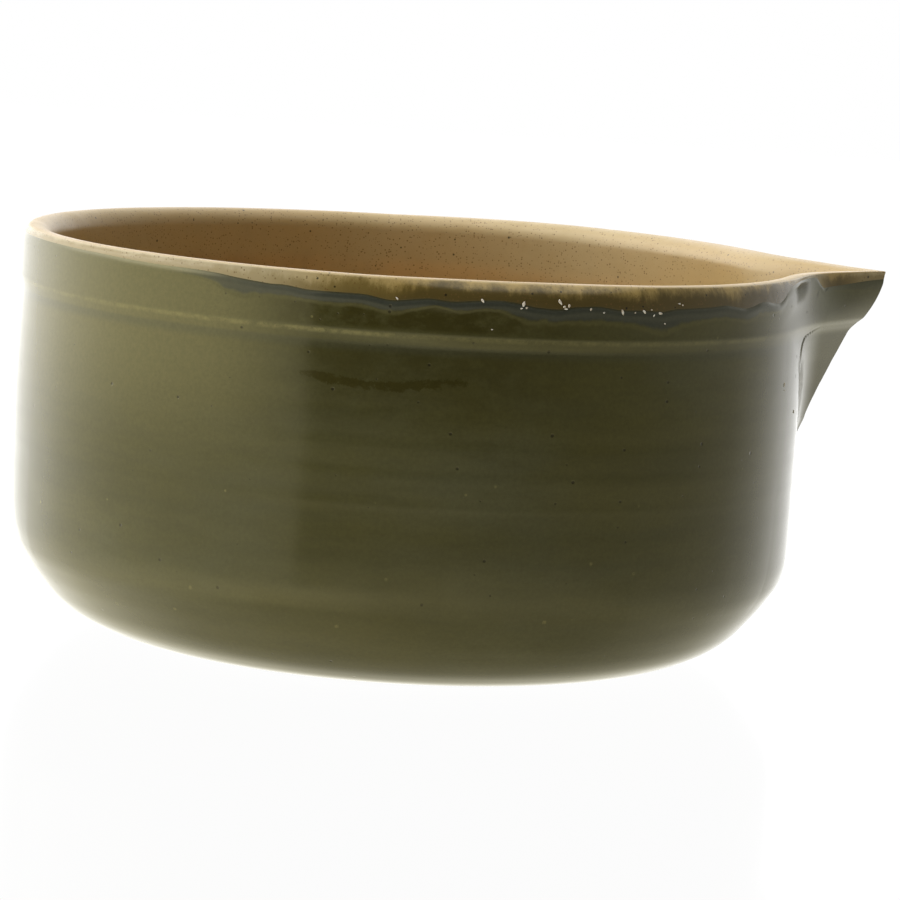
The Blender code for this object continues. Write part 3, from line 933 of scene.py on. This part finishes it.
# ---- chips in the glaze, where the pale clay shows ----
# azimuth in degrees, depth, length and width in millimetres, tilt in degrees
CHIPS = (
    (-94.8, 6.1, 1.1, 0.5, -50), (-83.5, 5.3, 1.5, 0.6, -55), (-77.9, 5.8, 1.6, 0.8, 75),
    (-78.2, 7.0, 0.8, 0.5, 10), (-77.5, 6.8, 0.7, 0.6, 60), (-72.8, 4.9, 1.7, 0.9, -60),
    (-72.2, 6.1, 0.9, 0.6, 20), (-71.5, 5.8, 1.1, 0.7, 70), (-71.9, 6.7, 1.3, 0.5, 0),
    (-68.3, 6.7, 0.8, 0.6, 50), (-66.3, 7.5, 0.6, 0.4, 0), (-63.4, 7.4, 1.7, 0.8, -70),
    (-61.4, 7.4, 0.5, 0.4, 0), (-59.9, 7.1, 1.6, 0.7, -50), (-58.3, 8.2, 0.9, 0.5, 70),
    (-57.2, 7.6, 1.3, 0.8, 0), (-58.7, 6.6, 0.5, 0.4, 0), (-56.3, 10.5, 0.6, 0.4, -30),
    (-53.9, 4.9, 0.6, 0.4, 0), (-53.3, 5.3, 0.5, 0.4, 0), (-66.8, 71.2, 1.2, 0.5, 30),
    (-66.1, 69.8, 0.5, 0.4, 0), (-61.7, 72.2, 0.8, 0.5, 20), (-82.0, 13.2, 0.6, 0.4, 0),
    (-24.3, 31.3, 1.3, 0.6, 80), (-24.0, 33.1, 0.5, 0.4, 0), (-17.2, 40.9, 1.1, 0.7, 80),
    (96.0, 6.4, 1.4, 0.6, 30), (98.2, 7.7, 0.7, 0.5, 0), (131.0, 5.6, 1.2, 0.7, -40),
    (88.0, 64.0, 1.1, 0.6, 10))
CHIP_SEED = 11
CHIP_CORNERS = 9
CHIP_JAG = (0.7, 1.15)      # how far a corner may lie from the chip's middle, as a share
CHIP_SINK = 0.00030
CHIP_HEIGHT = 0.00006
# each chip is three rings: its share of the full width and its height over the glaze
CHIP_RINGS = ((1.0, -CHIP_SINK), (1.0, 0.0), (0.55, CHIP_HEIGHT))


def face_radius(angle, drop):
    """Nominal radius of the olive coat's face at one place."""
    z = np.array([[HEIGHT - drop]])
    on_collar = drop < UPPER_END_MM * MM
    radius = collar_radius(HEIGHT - z) if on_collar else wall_radius(z)
    return float(pull_lip(radius, np.array([[angle]]), z)[0, 0])


def chip_outline(chip, chance):
    """Angle, drop and radius of the coat's face at each corner of one chip."""
    azimuth, depth, length, width, tilt = chip
    lean = math.radians(tilt)
    corners = []
    for corner in range(CHIP_CORNERS):
        turn = 2 * math.pi * corner / CHIP_CORNERS
        jag = chance.uniform(*CHIP_JAG)
        along = math.cos(turn) * length / 2 * jag
        across = math.sin(turn) * width / 2 * jag
        side = (along * math.cos(lean) - across * math.sin(lean)) * MM
        lift = (along * math.sin(lean) + across * math.cos(lean)) * MM
        angle = math.radians(azimuth) + side / COLLAR_RADIUS
        drop = depth * MM - lift
        corners.append((angle, drop, face_radius(angle, drop)))
    return corners


def make_chips():
    chance = np.random.default_rng(CHIP_SEED)
    shape = bmesh.new()
    for chip in CHIPS:
        middle = math.radians(chip[0])
        depth = chip[1] * MM
        corners = chip_outline(chip, chance)
        rings = []
        for spread, offset in CHIP_RINGS:
            ring = []
            for angle, drop, radius in corners:
                turn = middle + (angle - middle) * spread
                reach = radius + offset + BEAD_HEIGHT
                z = HEIGHT - (depth + (drop - depth) * spread)
                place = (reach * math.cos(turn), reach * math.sin(turn), z)
                ring.append(shape.verts.new(place))
            rings.append(ring)
        for lower, upper in zip(rings, rings[1:]):
            for index in range(CHIP_CORNERS):
                after = (index + 1) % CHIP_CORNERS
                shape.faces.new((lower[index], lower[after], upper[after], upper[index]))
        shape.faces.new(rings[-1])
        shape.faces.new(rings[0][::-1])
    bmesh.ops.recalc_face_normals(shape, faces=shape.faces)
    mesh = bpy.data.meshes.new("glaze_chips")
    shape.to_mesh(mesh)
    shape.free()
    mesh.shade_smooth()
    piece = bpy.data.objects.new("glaze_chips", mesh)
    bpy.context.scene.collection.objects.link(piece)
    return piece


# ---- studio ----
# light that an upright wall mirrors: bearing from the back in degrees, clockwise from above,
# and brightness as a share of the brightest
SURROUNDINGS = (
    (-180, 0.025), (-149, 0.32), (-120, 0.42), (-90, 0.54), (-68, 0.78), (-50, 0.98),
    (-37, 0.97), (0, 0.9), (44, 0.60), (60, 0.39), (75, 0.23), (94, 0.15), (115, 0.09),
    (140, 0.04), (180, 0.025))
BRIGHTEST = 2.0
SOFTBOX_EDGE = (-150.6, -148.2)     # bearings over which the softbox's front edge falls off
KEY_BEARINGS = ((-132.0, -100.0), (-30.0, -60.0))
KEY_ELEVATIONS = (-3.0, 16.0)
KEY_LIGHT = 4.2
TOP_ELEVATIONS = (34.0, 62.0)
TOP_LIGHT = 1.6
FLOOR_ELEVATION = -5.0              # the floor's light starts here and is full a span lower
FLOOR_SPAN = 29.0
FLOOR_SIDES = (-0.8, 0.8)
FLOOR_LIGHT = (1.80, 0.78)          # at the left and at the right
FLOOR_NEAR = (-28.0, -62.0)         # the floor is darker close to the bowl
FLOOR_NEAR_LIGHT = (1.0, 0.60)
FLOOR_TONE = (1.0, 0.96, 0.78)
ROOM_LIGHT = 0.05
WHITE = (1.0, 1.0, 1.0)


def light_around(graph, bearing, elevation):
    """Brightness by direction: bright behind, a softbox on the left, dark in front."""
    turn = graph.math("DIVIDE", graph.math("ADD", bearing, 180.0), 360.0)
    ring = graph.node("ShaderNodeValToRGB", {"Fac": turn})
    stops = ring.color_ramp.elements
    for index, (place, level) in enumerate(SURROUNDINGS):
        stop = stops[index] if index < 2 else stops.new(1.0)
        stop.position = (place + 180) / 360
        stop.color = (level, level, level, 1.0)
    level = graph.times(ring.outputs[0], graph.ramp(bearing, *SOFTBOX_EDGE), BRIGHTEST)
    on_left = strip(graph, bearing, *KEY_BEARINGS)
    key = graph.times(on_left, graph.ramp(elevation, *KEY_ELEVATIONS, 0.0, KEY_LIGHT))
    top = graph.ramp(elevation, *TOP_ELEVATIONS, 0.0, TOP_LIGHT)
    return graph.math("MAXIMUM", level, graph.math("MAXIMUM", key, top))


def make_world():
    """White all round for the camera; for the bowl, the studio's light and the floor's."""
    world = bpy.data.worlds.new("studio")
    world.use_nodes = True
    bpy.context.scene.world = world
    graph = Graph(world.node_tree)
    direction = graph.node("ShaderNodeTexCoord").outputs["Generated"]
    part = graph.node("ShaderNodeSeparateXYZ", {"Vector": direction})
    bearing = graph.math("DEGREES", graph.math("ARCTAN2", part.outputs["X"], part.outputs["Y"]))
    elevation = graph.math("DEGREES", graph.math("ARCSINE", part.outputs["Z"]))
    light = light_around(graph, bearing, elevation)
    floor = graph.ramp(part.outputs["X"], *FLOOR_SIDES, *FLOOR_LIGHT)
    floor = graph.times(floor, graph.ramp(elevation, *FLOOR_NEAR, *FLOOR_NEAR_LIGHT))
    below = graph.math("SUBTRACT", FLOOR_ELEVATION, elevation)
    on_floor = graph.math("DIVIDE", below, FLOOR_SPAN, clamp=True)
    studio = graph.times(light, graph.left(on_floor))
    light = graph.math("ADD", studio, graph.times(on_floor, floor))
    light = graph.math("MAXIMUM", light, ROOM_LIGHT)
    camera = graph.node("ShaderNodeLightPath").outputs["Is Camera Ray"]
    strength = graph.math("ADD", camera, graph.times(graph.left(camera), light))
    tone = graph.mix(graph.times(on_floor, graph.left(camera)), WHITE, FLOOR_TONE)
    shown = graph.node("ShaderNodeBackground", {"Color": tone, "Strength": strength})
    graph.node("ShaderNodeOutputWorld", {"Surface": shown.outputs[0]})


FLOOR_HALF_SIZE = 3.0
FLOOR_GLOW = 0.97
FLOOR_SHINE = (0.03, 0.03, 0.03)
FLOOR_SHINE_ROUGHNESS = 0.08


def make_floor():
    """A pale floor for the camera only; its light on the bowl comes from the world."""
    half = FLOOR_HALF_SIZE
    corners = [(-half, -half, 0), (half, -half, 0), (half, half, 0), (-half, half, 0)]
    mesh = bpy.data.meshes.new("floor")
    mesh.from_pydata(corners, [], [(0, 1, 2, 3)])
    floor = bpy.data.objects.new("floor", mesh)
    bpy.context.scene.collection.objects.link(floor)
    material = bpy.data.materials.new("white_sweep")
    material.use_nodes = True
    graph = Graph(material.node_tree)
    glow = graph.node("ShaderNodeEmission", {"Color": WHITE, "Strength": FLOOR_GLOW})
    shine = graph.node(
        "ShaderNodeBsdfGlossy", {"Color": FLOOR_SHINE, "Roughness": FLOOR_SHINE_ROUGHNESS})
    both = graph.node("ShaderNodeAddShader")
    graph.put(both.inputs[0], glow.outputs[0])
    graph.put(both.inputs[1], shine.outputs[0])
    graph.node("ShaderNodeOutputMaterial", {"Surface": both.outputs[0]})
    mesh.materials.append(material)
    floor.visible_diffuse = False
    floor.visible_glossy = False
    floor.visible_shadow = False


TARGET = Vector((0.0, 0.0, 0.0625))
CAMERA_DISTANCE = 1.2
CAMERA_AZIMUTH = math.radians(-93.4)
CAMERA_ELEVATION = math.radians(7.64)
CAMERA_ROLL = math.radians(3.83)
CAMERA_LENS = 155.83
CAMERA_SENSOR = 36.0
CAMERA_CLIP = (0.05, 50.0)
AIM_RIGHT = 0.01415
AIM_UP = -0.00369


def make_camera():
    data = bpy.data.cameras.new("camera")
    data.lens = CAMERA_LENS
    data.sensor_width = CAMERA_SENSOR
    data.clip_start, data.clip_end = CAMERA_CLIP
    camera = bpy.data.objects.new("camera", data)
    bpy.context.scene.collection.objects.link(camera)
    level = math.cos(CAMERA_ELEVATION)
    back = Vector((
        level * math.cos(CAMERA_AZIMUTH), level * math.sin(CAMERA_AZIMUTH),
        math.sin(CAMERA_ELEVATION)))
    facing = back.to_track_quat("Z", "Y").to_matrix().to_4x4()
    turned = facing @ Matrix.Rotation(CAMERA_ROLL, 4, "Z")
    right = turned.col[0].to_3d()
    up = turned.col[1].to_3d()
    place = TARGET + back * CAMERA_DISTANCE + right * AIM_RIGHT + up * AIM_UP
    camera.matrix_world = Matrix.Translation(place) @ turned
    bpy.context.scene.camera = camera


def main():
    olive = ceramic("olive_glaze_look", paint_olive, OLIVE_SHEEN)
    tan = ceramic("tan_glaze_look", paint_liner, TAN_SHEEN)
    clay = ceramic("bare_clay_look", paint_clay)
    broken = ceramic("fresh_chip_look", paint_chips)
    outside = make_outside_coat()
    inside = make_inside_coat()
    bowl, lip = make_clay()
    finishes = (
        (outside, olive, "olive_glaze"), (inside, tan, "tan_glaze"), (bowl, clay, "stoneware"),
        (lip, clay, "stoneware"), (make_chips(), broken, "stoneware"))
    for piece, material, slot in finishes:
        piece.data.materials.clear()
        piece.data.materials.append(material)
        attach(piece, "root")
    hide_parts("outside_glaze")
    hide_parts("inside_glaze")
    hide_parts("bowl_body")
    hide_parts("pouring_lip")
    make_world()
    make_floor()
    make_camera()
    settings = bpy.context.scene.view_settings
    settings.view_transform = "Standard"
    settings.look = "None"


main()
